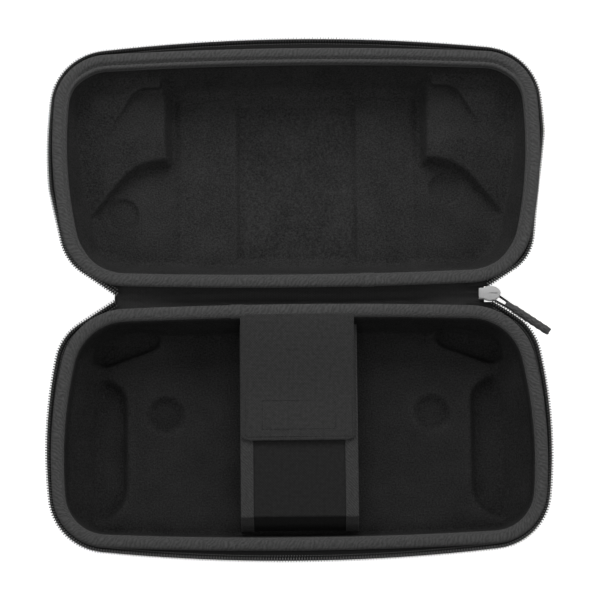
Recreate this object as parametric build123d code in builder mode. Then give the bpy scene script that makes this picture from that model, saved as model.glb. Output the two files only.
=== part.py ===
import math
import os

from build123d import *

# Overall sizes of one half, in millimetres
half_depth = 40.0          # table to the top of the rim binding

# Rim outline of the shell, seen from above, measured from the hinge axis
hinge_reach = 6.4          # nearest point of the hinge wall
hinge_bow = 3.0            # how far that wall bows towards the axis
hinge_half = 137.0         # half width at the hinge corners
front_reach = 158.5        # furthest point of the front wall
front_bow = 4.5            # how far that wall bows outwards
front_half = 147.0         # half width at the front corners
side_bow = 9.5             # how far the side walls bow outwards
hinge_radius = 40.0        # plan radius of the hinge corners
front_radius = 33.0        # plan radius of the front corners

# Outer tub
shell_wall = 3.0
shell_draft = 9.0          # degrees
shell_radius = 10.0        # between wall and underside
land_height = 6.4          # upright part of the outer wall, below the rim

# Rim binding
binding_top = 1.6          # thickness over the rim
lip = 1.0                  # thickness on each side of the rim
tray_rim = 5.0             # width of the tray rim beside the shell wall
outer_lip = 1.1            # height of the binding below the rim, outside
inner_lip = 4.4            # the same, inside
binding_round = 1.4

# Zip tape and coil, which lie outside the rim
tape_thickness = 0.7
coil_width = 2.3
coil_height = 2.5
coil_round = 0.7
zip_start_inset = 24.4     # hinge corner to the point where the coils meet on the axis
zip_start_slope = 33.0     # degrees, the way the coil leaves the hinge axis
zip_hinge_gap = 10.8       # coil outside the rim at the hinge corners
zip_side_gap = 3.0         # the same at the front corners
zip_front_gap = 8.5        # the same in the middle of the front
zip_front_bulge = 5.5      # bow of the front coil beyond that of the rim
zip_side_ease = 1.5        # bow of the side coil short of that of the rim
zip_hinge_ease = 6.0       # hinge corner radius of the coil, less than that of the rim
zip_front_ease = 5.0       # front corner radius of the coil, more than that of the rim
tape_tuck = 8.6            # the tapes run this far in behind the point where the coils meet
coil_end_gap = 2.6         # from the hinge axis to the coil ends on the plain side

# Base tray
cavity_land = 5.4          # upright part of the cavity walls, below the rim
base_floor = 8.0           # thickness of the tray under the level floor
base_draft = 10.0          # degrees, hinge and front walls
base_crease = 2.2          # width of the crease between those walls and the level floor
bank_draft = 33.0          # degrees, sloping sides
bank_run_out = 1.0         # how far the top of the slopes runs on into the side walls
grip_inset = 44.5          # edge of the level floor beside a grip hollow, in from the widest part of the rim
grip_ahead = 37.0          # start of the hollow, ahead of the hinge corner
grip_back = 19.5           # its end, back from the front wall
grip_near_radius = 16.0
grip_far_radius = 24.0
grip_depth = 6.0
grip_draft = 25.0          # degrees
grip_round = 3.0           # along the bottom of the hollow
trigger_inset = 30.0       # middle of a trigger scoop, in from the hinge corner
trigger_ahead = 17.6       # and ahead of it
trigger_length = 48.0
trigger_width = 18.0
trigger_rise = 6.0         # top of the scoop above the level floor
trigger_depth = 5.0        # its bottom below that floor
trigger_turn = 20.0        # degrees, turned to follow the corner
trigger_draft = 20.0       # degrees
dimple_x = 83.0
dimple_ahead = 63.6        # middle of a dimple, ahead of the hinge wall
dimple_rim = 12.5          # radius at the floor
dimple_disc = 8.5          # radius of the flat bottom
dimple_depth = 3.0

# Lid tray
lid_floor = 3.0            # thickness of the tray under the cavity
lid_draft = 22.0           # degrees
lid_floor_radius = 9.0
strip_inner_x = 38.0
strip_outer_x = 74.0
strip_near = 17.6          # start of the low strips, ahead of the hinge wall
strip_far = 24.5           # their end, back from the front wall
strip_rise = 1.2
strip_draft = 30.0         # degrees
middle_near = 22.6         # start of the middle recess, ahead of the hinge wall
middle_far = 27.0          # its end, back from the front wall
middle_drop = 1.5
pad_rise = 12.0            # top of the raised pads above the floor
pad_x = 83.5               # inner edge of the pads
pad_back = 63.5            # near edge of the pads at that corner, back from the front wall
pad_arc_radius = 42.0
pad_arc_turn = 48.0        # degrees
pad_run_out = 3.0          # how far the pads run on into the walls
pad_draft = 22.0           # degrees
pad_round = 1.8
terrace_back = 19.5        # step on top of a pad, back from the front wall
terrace_flat = 10.5        # straight start of that step
terrace_radius = 12.0
terrace_turn = 58.0        # degrees
terrace_fall = 33.0        # length over which the step comes down to the pad
terrace_slope = 10.0       # degrees
left_dimple_x = -110.7
left_dimple_ahead = 53.6   # ahead of the hinge wall
right_dimple_x = 94.3
right_dimple_ahead = 68.9
lid_dimple_rim = 10.8
lid_dimple_disc = 9.2
lid_dimple_depth = 2.0

# Pouch on the base floor
pouch_half = 36.0
pouch_back = 20.2          # top of the front end of the pouch, back from the front wall
pouch_lean = 5.2           # foot of that end, ahead of its top
pouch_ahead = 21.6         # its other end, ahead of the hinge wall
pouch_height = 18.8
pouch_wall = 0.9
panel_thickness = 0.8
mouth_inset = 9.0          # sides of the pouch mouth, in from the pouch sides
mouth_length = 18.0
edge_width = 8.0
edge_thickness = 0.6
edge_ahead = 10.6          # start of the edge tapes, ahead of the hinge wall
patch_half = 23.0
patch_length = 18.0
patch_back = 7.0           # from the free edge of the flap
patch_thickness = 0.55
flap_inset = 0.7           # sides of the flap, in from the pouch sides
flap_neck_inset = 0.5      # and of its sewn neck, in from the flap sides
flap_neck_length = 4.0
flap_thickness = 1.4
flap_length = 75.1
flap_drop_length = 15.1    # over which the flap comes down from the wall
flap_gap = 0.5             # between the sewn end and the tray wall
flap_under_lip = 0.2       # between the sewn end and the binding above it
flap_radius = 4.0

# Hinge strip
cloth_thickness = 0.8
cloth_gap = 0.2            # under the zip tapes
cloth_left = 1.4           # beyond the point where the coils meet
cloth_right = 3.4

# Zip slider and its bail
slider_offset = 0.1        # flat narrow end, from the point where the coils meet
slider_length = 13.7
slider_near_half = 3.6
slider_wide_half = 4.5
slider_far_half = 2.6
slider_wide_at = 8.8       # widest place, from the narrow end
slider_plate = 1.4
slider_gap = 2.0           # room for the coils between the plates
slider_post_radius = 1.5
slider_post_at = 10.3      # from the narrow end
slider_guide = 0.8         # width of the side guides
slider_guide_length = 5.3
slider_round = 0.5
slider_clearance = 1.3     # beside the slider, to the coil ends
bail_leg_radius = 0.8
bail_near_at = 4.3         # from the narrow end of the slider
bail_pivot_at = 8.3
bail_drop = 5.8
bail_bar = 1.4

# Pull
pull_turn = -32.4          # degrees, the way it points in plan
pull_clearance = 0.35
pull_cord = 1.5            # diameter
pull_cord_drop = 3.2       # below the slider
pull_loop_length = 10.0
pull_end_gap = 0.15        # cord ends to the tilted face of the grip
pull_grip_length = 32.6
pull_neck = 5.6            # plain start of the grip, before its knobs
pull_core_diameter = 4.6
pull_grip_diameter = 5.6
pull_knob_pitch = 3.6
pull_knob_length = 2.6
pull_knob_round = 0.45
pull_droop = 10.0          # degrees

os.makedirs("parts", exist_ok=True)

# Heights and corners that follow from the sizes above
rim_z = half_depth - binding_top
land_z = rim_z - land_height
cavity_land_z = rim_z - cavity_land
outer_lip_z = rim_z - outer_lip
inner_lip_z = rim_z - inner_lip
tape_z = outer_lip_z - tape_thickness
base_floor_z = shell_wall + base_floor
grip_floor_z = base_floor_z - grip_depth
lid_floor_z = shell_wall + lid_floor
rim_stack = shell_wall + tray_rim
hinge_corner = hinge_reach + hinge_bow
front_corner = front_reach - front_bow
side_half = (hinge_half + front_half) / 2 + side_bow
side_mid_y = -(hinge_corner + front_corner) / 2
zip_start_x = hinge_half - zip_start_inset
zip_slope = math.tan(math.radians(zip_start_slope))
zip_hinge_half = hinge_half + zip_hinge_gap
zip_hinge_corner = (zip_hinge_half - zip_start_x) * zip_slope
zip_front_half = front_half + zip_side_gap
zip_front_reach = front_reach + zip_front_gap
zip_corner = zip_front_reach - front_bow - zip_front_bulge
zip_side_half = (zip_hinge_half + zip_front_half) / 2 + side_bow - zip_side_ease
zip_side_mid_y = -(zip_hinge_corner + zip_corner) / 2


# The same outline drawn again as plain lines and arcs
def redrawn(sketch):
    with BuildSketch() as clean:
        with BuildLine():
            for edge in sketch.edges():
                if edge.geom_type == GeomType.LINE:
                    Line(edge @ 0, edge @ 1)
                else:
                    ThreePointArc(edge @ 0, edge @ 0.5, edge @ 1)
        make_face()
    return clean.sketch


# Rim outline of the base, grown outwards or, below zero, shrunk inwards
def rim(grow):
    with BuildSketch() as face:
        with BuildLine():
            ThreePointArc((-hinge_half, -hinge_corner), (0, -hinge_reach), (hinge_half, -hinge_corner))
            ThreePointArc((hinge_half, -hinge_corner), (side_half, side_mid_y), (front_half, -front_corner))
            ThreePointArc((front_half, -front_corner), (0, -front_reach), (-front_half, -front_corner))
            ThreePointArc((-front_half, -front_corner), (-side_half, side_mid_y), (-hinge_half, -hinge_corner))
        make_face()
        fillet(face.vertices().group_by(Axis.Y)[-1], hinge_radius)
        fillet(face.vertices().group_by(Axis.Y)[0], front_radius)
        if grow != 0:
            offset(amount=grow, mode=Mode.REPLACE)
    return redrawn(face.sketch)


# Outline along the outside of the base coil, closed by a gable beyond the hinge axis
def zip_line(grow):
    right = (zip_hinge_half, -zip_hinge_corner)
    left = (-zip_hinge_half, -zip_hinge_corner)
    front_right = (zip_front_half, -zip_corner)
    front_left = (-zip_front_half, -zip_corner)
    gable = (0, zip_start_x * zip_slope)
    with BuildSketch() as face:
        with BuildLine():
            Line(left, gable)
            Line(gable, right)
            ThreePointArc(right, (zip_side_half, zip_side_mid_y), front_right)
            ThreePointArc(front_right, (0, -zip_front_reach), front_left)
            ThreePointArc(front_left, (-zip_side_half, zip_side_mid_y), left)
        make_face()
        fillet(face.vertices().group_by(Axis.Y)[0], front_radius + zip_front_ease)
        fillet(face.vertices().group_by(Axis.Y)[-2], hinge_radius - zip_hinge_ease)
        if grow != 0:
            offset(amount=grow, mode=Mode.REPLACE)
    return redrawn(face.sketch)


# Drafted block under the rim outline, upright above its land height
def tub(inset, land, floor, draft, radius):
    outline = rim(-inset)
    with BuildPart() as block:
        with BuildSketch(Plane.XY.offset(land)):
            add(outline)
        extrude(amount=rim_z - land)
        with BuildSketch(Plane.XY.offset(land)):
            add(outline)
        extrude(amount=-(land - floor), taper=draft)
        fillet(block.faces().sort_by(Axis.Z)[0].edges(), radius)
    return block.part


# Band between two outlines, from one height to another
def band(outer, inner, low, high):
    with BuildPart() as ring:
        with BuildSketch(Plane.XY.offset(low)):
            add(outer)
            add(inner, mode=Mode.SUBTRACT)
        extrude(amount=high - low)
    return ring.part


shell_outside = tub(0, land_z, 0, shell_draft, shell_radius)
tray_outside = tub(shell_wall, land_z, shell_wall, shell_draft, shell_radius - shell_wall)
base_space = tub(rim_stack, cavity_land_z, grip_floor_z, base_draft, grip_round)
lid_space = tub(rim_stack, cavity_land_z, lid_floor_z, lid_draft, lid_floor_radius)

with BuildPart() as base_shell:
    add(shell_outside)
    add(tray_outside, mode=Mode.SUBTRACT)
base_shell.part.label = "base_shell"
export_step(base_shell.part, "parts/base_shell.step")

with BuildPart() as lid_shell:
    mirror(base_shell.part, about=Plane.XZ)
lid_shell.part.label = "lid_shell"
export_step(lid_shell.part, "parts/lid_shell.step")

bank_inset = rim_stack - bank_run_out
bank_hinge = hinge_half - bank_inset
bank_front = front_half - bank_inset
bank_side = (side_half - bank_inset, side_mid_y)
bank_far = front_reach + rim_z
upwards = (Align.CENTER, Align.CENTER, Align.MIN)

# Sloping sides of the base, as a block with a bowed trough through it from end to end
with BuildPart() as bank_block:
    Box(4 * side_half, 4 * bank_far, cavity_land_z, align=upwards)
    with BuildSketch(Plane.XY.offset(cavity_land_z)):
        with BuildLine():
            Line((0, bank_far), (bank_hinge, bank_far))
            Line((bank_hinge, bank_far), (bank_hinge, -hinge_corner))
            ThreePointArc((bank_hinge, -hinge_corner), bank_side, (bank_front, -front_corner))
            Line((bank_front, -front_corner), (bank_front, -bank_far))
            Line((bank_front, -bank_far), (0, -bank_far))
            mirror(about=Plane.YZ)
        make_face()
    extrude(amount=-(cavity_land_z - shell_wall), taper=bank_draft, mode=Mode.SUBTRACT)

grip_edge_x = side_half - grip_inset
grip_near_y = -(hinge_corner + grip_ahead)
grip_far_y = grip_back - front_reach
grip_mid = (side_half - grip_inset / 2, (grip_near_y + grip_far_y) / 2)
level_inset = rim_stack + (cavity_land_z - base_floor_z) * math.tan(math.radians(base_draft)) + base_crease

# Outline of the right grip hollow
with BuildSketch() as grip_outline:
    with Locations(grip_mid):
        Rectangle(grip_inset, grip_near_y - grip_far_y)
    fillet(grip_outline.vertices().group_by(Axis.X)[0].sort_by(Axis.Y)[-1], grip_near_radius)
    fillet(grip_outline.vertices().group_by(Axis.X)[0].sort_by(Axis.Y)[0], grip_far_radius)

# Level floor of the base, cut away for a grip hollow on each side
with BuildPart() as level_block:
    with BuildSketch(Plane.XY.offset(base_floor_z)):
        add(rim(-level_inset))
    extrude(amount=-(base_floor_z - shell_wall), taper=-grip_draft)
    with BuildSketch(Plane.XY.offset(base_floor_z)):
        add(grip_outline.sketch)
        mirror(grip_outline.sketch, about=Plane.YZ)
    extrude(amount=-(base_floor_z - shell_wall), taper=grip_draft, mode=Mode.SUBTRACT)

# Space inside the base, with the sloping sides and the level floor left standing
with BuildPart() as base_hollow:
    add(base_space)
    add(bank_block.part, mode=Mode.SUBTRACT)
    add(level_block.part, mode=Mode.SUBTRACT)

trigger_x = hinge_half - trigger_inset
trigger_y = -(hinge_corner + trigger_ahead)
dimple_y = -(hinge_reach + dimple_ahead)
dimple_mid_z = base_floor_z - dimple_depth / 2

with BuildPart() as base_tray:
    add(tray_outside)
    add(base_hollow.part, mode=Mode.SUBTRACT)
    with BuildSketch(Plane.XY.offset(base_floor_z + trigger_rise)):
        with Locations(Location((trigger_x, trigger_y, 0), (0, 0, -trigger_turn))):
            SlotOverall(trigger_length, trigger_width)
        with Locations(Location((-trigger_x, trigger_y, 0), (0, 0, trigger_turn))):
            SlotOverall(trigger_length, trigger_width)
    extrude(amount=-(trigger_rise + trigger_depth), taper=trigger_draft, mode=Mode.SUBTRACT)
    with Locations((-dimple_x, dimple_y, dimple_mid_z), (dimple_x, dimple_y, dimple_mid_z)):
        Cone(dimple_disc, dimple_rim, dimple_depth, mode=Mode.SUBTRACT)
base_tray.part.label = "base_tray"
export_step(base_tray.part, "parts/base_tray.step")

pad_z = lid_floor_z + pad_rise
pad_y = front_reach - pad_back
pad_far = (front_half + pad_run_out, front_reach - pad_run_out)
terrace_x = pad_x + pad_round
terrace_y = front_reach - terrace_back
terrace_block = 2 * rim_z

# Raised pad in the right front corner of the lid, running on into the tray walls
with BuildPart() as pad_block:
    with BuildSketch(Plane.XY.offset(pad_z)):
        with BuildLine():
            near = JernArc((pad_x, pad_y), (1, 0), pad_arc_radius, -pad_arc_turn)
            fall = (pad_far[0] - near.end_point().X) * math.tan(math.radians(pad_arc_turn))
            low = (pad_far[0], near.end_point().Y - fall)
            Polyline(near.end_point(), low, pad_far, (pad_x, pad_far[1]), (pad_x, pad_y))
        make_face()
    extrude(amount=-(pad_rise + lid_floor / 2), taper=-pad_draft)
    fillet(pad_block.faces().sort_by(Axis.Z)[-1].edges(), pad_round)
    with BuildSketch(Plane.XY.offset(pad_z - pad_round)):
        with BuildLine():
            flat = Line((terrace_x, terrace_y), (pad_x + terrace_flat, terrace_y))
            turn = JernArc(flat.end_point(), (1, 0), terrace_radius, -terrace_turn)
            fall = (pad_far[0] - turn.end_point().X) * math.tan(math.radians(terrace_turn))
            low = (pad_far[0], turn.end_point().Y - fall)
            Polyline(turn.end_point(), low, pad_far, (terrace_x, pad_far[1]), (terrace_x, terrace_y))
        make_face()
    extrude(amount=rim_z - pad_z)
    with Locations(Location((pad_far[0], terrace_y - terrace_fall, pad_z), (terrace_slope, 0, 0))):
        Box(4 * front_half, 4 * front_reach, terrace_block, align=upwards, mode=Mode.SUBTRACT)

# Space inside the lid, with the two pads left standing
with BuildPart() as lid_hollow:
    mirror(lid_space, about=Plane.XZ)
    add(pad_block.part, mode=Mode.SUBTRACT)
    mirror(pad_block.part, about=Plane.YZ, mode=Mode.SUBTRACT)

strip_mid_x = (strip_inner_x + strip_outer_x) / 2
strip_near_y = hinge_reach + strip_near
strip_far_y = front_reach - strip_far
strip_mid_y = (strip_near_y + strip_far_y) / 2
middle_near_y = hinge_reach + middle_near
middle_far_y = front_reach - middle_far
left_spot = (left_dimple_x, hinge_reach + left_dimple_ahead, lid_floor_z - lid_dimple_depth / 2)
right_spot = (right_dimple_x, hinge_reach + right_dimple_ahead, lid_floor_z - lid_dimple_depth / 2)

with BuildPart() as lid_tray:
    mirror(tray_outside, about=Plane.XZ)
    add(lid_hollow.part, mode=Mode.SUBTRACT)
    with BuildSketch(Plane.XY.offset(lid_floor_z + strip_rise)):
        with Locations((-strip_mid_x, strip_mid_y), (strip_mid_x, strip_mid_y)):
            Rectangle(strip_outer_x - strip_inner_x, strip_far_y - strip_near_y)
    extrude(amount=-2 * strip_rise, taper=-strip_draft)
    with BuildSketch(Plane.XY.offset(lid_floor_z + strip_rise)):
        with Locations((0, (middle_near_y + middle_far_y) / 2)):
            Rectangle(2 * strip_inner_x, middle_far_y - middle_near_y)
    extrude(amount=-(strip_rise + middle_drop), taper=strip_draft, mode=Mode.SUBTRACT)
    with Locations(left_spot, right_spot):
        Cone(lid_dimple_disc, lid_dimple_rim, lid_dimple_depth, mode=Mode.SUBTRACT)
lid_tray.part.label = "lid_tray"
export_step(lid_tray.part, "parts/lid_tray.step")

binding_outside = rim(lip)
binding_inside = rim(-(rim_stack + lip))
binding_cap = band(binding_outside, binding_inside, rim_z, half_depth)
binding_outer_lip = band(binding_outside, rim(0), outer_lip_z, rim_z)
binding_inner_lip = band(rim(-rim_stack), binding_inside, inner_lip_z, rim_z)

with BuildPart() as base_binding:
    add(binding_cap)
    add(binding_outer_lip)
    add(binding_inner_lip)
    fillet(base_binding.faces().sort_by(Axis.Z)[-1].edges(), binding_round)
base_binding.part.label = "base_binding"
export_step(base_binding.part, "parts/base_binding.step")

with BuildPart() as lid_binding:
    mirror(base_binding.part, about=Plane.XZ)
lid_binding.part.label = "lid_binding"
export_step(lid_binding.part, "parts/lid_binding.step")

zip_span = 2 * zip_front_reach
tape_end_x = zip_start_x - tape_tuck
right_end_gap = slider_wide_half + slider_clearance

# Block that clears the hinge side between the two ends of the zip
with BuildPart() as zip_clearing:
    with Locations((0, zip_span / 2 - 2 * hinge_corner, half_depth)):
        Box(2 * tape_end_x, zip_span, half_depth)
    with Locations((-zip_span / 2, zip_span / 2 - coil_end_gap, half_depth)):
        Box(zip_span, zip_span, half_depth)
    with Locations((zip_span / 2, zip_span / 2 - right_end_gap, half_depth)):
        Box(zip_span, zip_span, half_depth)

tape_band = band(zip_line(-coil_round), rim(0), tape_z, outer_lip_z)
coil_band = band(zip_line(0), zip_line(-coil_width), outer_lip_z, outer_lip_z + coil_height)

with BuildPart() as base_zip_tape:
    add(tape_band)
    add(zip_clearing.part, mode=Mode.SUBTRACT)
base_zip_tape.part.label = "base_zip_tape"
export_step(base_zip_tape.part, "parts/base_zip_tape.step")

with BuildPart() as lid_zip_tape:
    mirror(base_zip_tape.part, about=Plane.XZ)
lid_zip_tape.part.label = "lid_zip_tape"
export_step(lid_zip_tape.part, "parts/lid_zip_tape.step")

with BuildPart() as base_zip_coil:
    add(coil_band)
    fillet(base_zip_coil.faces().sort_by(Axis.Z)[-1].edges(), coil_round)
    add(zip_clearing.part, mode=Mode.SUBTRACT)
base_zip_coil.part.label = "base_zip_coil"
export_step(base_zip_coil.part, "parts/base_zip_coil.step")

with BuildPart() as lid_zip_coil:
    mirror(base_zip_coil.part, about=Plane.XZ)
lid_zip_coil.part.label = "lid_zip_coil"
export_step(lid_zip_coil.part, "parts/lid_zip_coil.step")

cloth_z = tape_z - cloth_gap - cloth_thickness
cloth_left_x = -(zip_start_x + cloth_left)
cloth_right_x = zip_start_x + cloth_right
base_outline = rim(0)

with BuildPart() as hinge_strip:
    with BuildSketch(Plane.XY.offset(cloth_z)):
        with Locations(((cloth_left_x + cloth_right_x) / 2, 0)):
            Rectangle(cloth_right_x - cloth_left_x, 4 * hinge_corner)
        add(base_outline, mode=Mode.SUBTRACT)
        mirror(base_outline, about=Plane.XZ, mode=Mode.SUBTRACT)
    extrude(amount=cloth_thickness)
hinge_strip.part.label = "hinge_strip"
export_step(hinge_strip.part, "parts/hinge_strip.step")

pouch_front_y = pouch_back - front_reach
pouch_foot_y = pouch_front_y - pouch_lean
pouch_start_y = -(hinge_reach + pouch_ahead)
pouch_length = pouch_start_y - pouch_front_y
pouch_mid_y = (pouch_front_y + pouch_start_y) / 2
panel_z = base_floor_z + pouch_height
pouch_top_z = panel_z + panel_thickness
flap_z = pouch_top_z + 2 * patch_thickness

front_foot = (pouch_foot_y, base_floor_z)
front_head = (pouch_front_y, panel_z)

# Upright sides and the leaning front end
with BuildPart() as pouch_gusset:
    with BuildSketch(Plane.YZ.offset(pouch_half - pouch_wall)):
        with BuildLine():
            Polyline((pouch_start_y, base_floor_z), front_foot, front_head, (pouch_start_y, panel_z), close=True)
        make_face()
    extrude(amount=pouch_wall)
    mirror(about=Plane.YZ)
    with BuildSketch(Plane.YZ):
        with BuildLine():
            inner_head = (pouch_front_y + pouch_wall, panel_z)
            inner_foot = (pouch_foot_y + pouch_wall, base_floor_z)
            Polyline(front_foot, front_head, inner_head, inner_foot, close=True)
        make_face()
    extrude(amount=pouch_half, both=True)
pouch_gusset.part.label = "pouch_gusset"
export_step(pouch_gusset.part, "parts/pouch_gusset.step")

with BuildPart() as pouch_panel:
    with BuildSketch(Plane.XY.offset(panel_z)):
        with Locations((0, pouch_mid_y)):
            Rectangle(2 * pouch_half, pouch_length)
        with Locations((0, pouch_start_y - mouth_length / 2)):
            Rectangle(2 * (pouch_half - mouth_inset), mouth_length, mode=Mode.SUBTRACT)
    extrude(amount=panel_thickness)
pouch_panel.part.label = "pouch_panel"
export_step(pouch_panel.part, "parts/pouch_panel.step")

edge_start_y = -(hinge_reach + edge_ahead)
edge_inner_x = pouch_half - edge_width
edge_top_z = pouch_top_z + edge_thickness

# Edge tape along the right of the pouch, over its top and down the front end
with BuildPart() as pouch_edge_right:
    with BuildSketch(Plane.YZ.offset(edge_inner_x)):
        with BuildLine():
            under = [(edge_start_y, pouch_top_z), (pouch_front_y, pouch_top_z), front_head, front_foot]
            over = [(y - edge_thickness, z) for y, z in (front_foot, front_head)]
            bend = [(pouch_front_y - edge_thickness, edge_top_z), (edge_start_y, edge_top_z)]
            Polyline(*under, *over, *bend, close=True)
        make_face()
    extrude(amount=edge_width)
pouch_edge_right.part.label = "pouch_edge_right"
export_step(pouch_edge_right.part, "parts/pouch_edge_right.step")

with BuildPart() as pouch_edge_left:
    mirror(pouch_edge_right.part, about=Plane.YZ)
pouch_edge_left.part.label = "pouch_edge_left"
export_step(pouch_edge_left.part, "parts/pouch_edge_left.step")

flap_half = pouch_half - flap_inset
flap_neck_half = flap_half - flap_neck_inset
flap_root_y = -(hinge_reach + rim_stack + flap_gap)
flap_root_z = inner_lip_z - flap_under_lip - flap_thickness
flap_front_y = flap_root_y - flap_length
flap_flat_y = flap_root_y - flap_drop_length
patch_mid_y = flap_front_y + patch_back + patch_length / 2

with BuildPart() as panel_loop_patch:
    with Locations((0, patch_mid_y, pouch_top_z + patch_thickness / 2)):
        Box(2 * patch_half, patch_length, patch_thickness)
panel_loop_patch.part.label = "panel_loop_patch"
export_step(panel_loop_patch.part, "parts/panel_loop_patch.step")

with BuildPart() as flap_hook_patch:
    with Locations((0, patch_mid_y, flap_z - patch_thickness / 2)):
        Box(2 * patch_half, patch_length, patch_thickness)
flap_hook_patch.part.label = "flap_hook_patch"
export_step(flap_hook_patch.part, "parts/flap_hook_patch.step")

with BuildPart() as pouch_flap:
    with BuildSketch(Plane.YZ):
        with BuildLine():
            level = ((1, 0), (1, 0))
            top_z = flap_z + flap_thickness
            root_top_z = flap_root_z + flap_thickness
            Line((flap_front_y, flap_z), (flap_flat_y, flap_z))
            Spline((flap_flat_y, flap_z), (flap_root_y, flap_root_z), tangents=level)
            Line((flap_root_y, flap_root_z), (flap_root_y, root_top_z))
            Spline((flap_flat_y, top_z), (flap_root_y, root_top_z), tangents=level)
            Line((flap_flat_y, top_z), (flap_front_y, top_z))
            Line((flap_front_y, top_z), (flap_front_y, flap_z))
        make_face()
    extrude(amount=flap_half, both=True)
    fillet(pouch_flap.edges().filter_by(Axis.Z).group_by(Axis.Y)[0], flap_radius)
    neck_x = flap_half
    neck_y = flap_root_y - flap_neck_length / 2
    with Locations((-neck_x, neck_y, flap_root_z), (neck_x, neck_y, flap_root_z)):
        Box(2 * flap_neck_inset, flap_neck_length, 4 * flap_thickness, mode=Mode.SUBTRACT)
pouch_flap.part.label = "pouch_flap"
export_step(pouch_flap.part, "parts/pouch_flap.step")

slider_z = cloth_z + cloth_thickness
slider_top_z = slider_z + slider_plate + slider_gap
slider_near_x = zip_start_x + slider_offset
slider_wide_x = slider_near_x + slider_wide_at
slider_far_x = slider_near_x + slider_length
slider_mid_z = slider_z + slider_plate + slider_gap / 2
guide_x = slider_near_x + slider_round + slider_guide_length / 2
guide_y = slider_near_half - slider_guide / 2

with BuildPart() as slider_body:
    with BuildSketch(Plane.XY.offset(slider_z), Plane.XY.offset(slider_top_z)):
        with BuildLine():
            Polyline(
                (slider_near_x, -slider_near_half),
                (slider_wide_x, -slider_wide_half),
                (slider_far_x, -slider_far_half),
                (slider_far_x, slider_far_half),
                (slider_wide_x, slider_wide_half),
                (slider_near_x, slider_near_half),
                close=True,
            )
        make_face()
    extrude(amount=slider_plate)
    fillet(slider_body.edges().filter_by(Axis.Z), slider_round)
    with Locations((slider_near_x + slider_post_at, 0, slider_mid_z)):
        Cylinder(slider_post_radius, slider_gap)
    with Locations((guide_x, guide_y, slider_mid_z), (guide_x, -guide_y, slider_mid_z)):
        Box(slider_guide_length, slider_guide, slider_gap)
slider_body.part.label = "slider_body"
export_step(slider_body.part, "parts/slider_body.step")

bail_near_x = slider_near_x + bail_near_at
bail_pivot_x = slider_near_x + bail_pivot_at
bail_leg_z = slider_z - bail_drop / 2

with BuildPart() as slider_bail:
    with Locations((bail_near_x, 0, bail_leg_z), (bail_pivot_x, 0, bail_leg_z)):
        Cylinder(bail_leg_radius, bail_drop)
    with Locations(((bail_near_x + bail_pivot_x) / 2, 0, slider_z - bail_drop + bail_bar / 2)):
        Box(bail_pivot_x - bail_near_x, 2 * bail_leg_radius, bail_bar)
slider_bail.part.label = "slider_bail"
export_step(slider_bail.part, "parts/slider_bail.step")

turn_angle = math.radians(pull_turn)
droop_angle = math.radians(pull_droop)
pull_x = Vector(math.cos(turn_angle), math.sin(turn_angle), 0)
pull_plane = Plane(origin=(bail_pivot_x, 0, slider_z - pull_cord_drop), x_dir=pull_x, z_dir=(0, 0, 1))
cord_bend = bail_leg_radius + pull_clearance + pull_cord / 2
cord_end = pull_loop_length - pull_end_gap
cord_start = pull_plane.from_local_coords((cord_end, cord_bend, 0))

with BuildPart() as pull_loop:
    with BuildLine(pull_plane) as cord_path:
        Line((cord_end, cord_bend), (0, cord_bend))
        ThreePointArc((0, cord_bend), (-cord_bend, 0), (0, -cord_bend))
        Line((0, -cord_bend), (cord_end, -cord_bend))
    with BuildSketch(Plane(origin=cord_start, z_dir=pull_x)):
        Circle(pull_cord / 2)
    sweep(path=cord_path.wires()[0])
pull_loop.part.label = "pull_loop"
export_step(pull_loop.part, "parts/pull_loop.step")

grip_dir = pull_x * math.cos(droop_angle) + Vector(0, 0, -math.sin(droop_angle))
grip_start = pull_plane.from_local_coords((pull_loop_length, 0, 0))
grip_radius_out = pull_grip_diameter / 2

with BuildPart(Plane(origin=grip_start, z_dir=grip_dir)) as pull_grip:
    Cylinder(pull_core_diameter / 2, pull_grip_length, align=upwards)
    for k in range(int((pull_grip_length - pull_neck - pull_knob_length) / pull_knob_pitch) + 1):
        with Locations((0, 0, pull_neck + k * pull_knob_pitch)):
            Cylinder(grip_radius_out, pull_knob_length, align=upwards)
    rims = pull_grip.edges().filter_by(GeomType.CIRCLE)
    fillet(rims.filter_by(lambda e: e.radius > (grip_radius_out + pull_core_diameter / 2) / 2), pull_knob_round)
pull_grip.part.label = "pull_grip"
export_step(pull_grip.part, "parts/pull_grip.step")
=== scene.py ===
import cmath
import math

import bpy
from mathutils import Matrix, Vector, noise


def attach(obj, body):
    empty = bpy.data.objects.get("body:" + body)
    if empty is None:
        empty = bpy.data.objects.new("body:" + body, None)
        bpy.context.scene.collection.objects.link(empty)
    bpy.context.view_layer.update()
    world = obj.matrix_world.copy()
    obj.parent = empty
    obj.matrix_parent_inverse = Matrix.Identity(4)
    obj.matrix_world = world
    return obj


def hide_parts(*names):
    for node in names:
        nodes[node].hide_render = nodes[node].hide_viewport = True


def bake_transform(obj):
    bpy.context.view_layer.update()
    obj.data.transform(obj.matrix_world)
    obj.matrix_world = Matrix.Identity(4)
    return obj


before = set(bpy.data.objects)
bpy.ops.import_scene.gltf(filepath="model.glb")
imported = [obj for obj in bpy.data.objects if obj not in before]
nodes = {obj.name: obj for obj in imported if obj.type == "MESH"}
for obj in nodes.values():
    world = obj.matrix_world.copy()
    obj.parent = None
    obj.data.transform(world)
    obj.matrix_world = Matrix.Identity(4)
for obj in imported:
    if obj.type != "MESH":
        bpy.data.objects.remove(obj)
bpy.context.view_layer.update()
scene = bpy.context.scene
mm = 0.001


# Selecting, modifiers and finishing

def letGo():
    bpy.ops.object.select_all(action="DESELECT")


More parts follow.
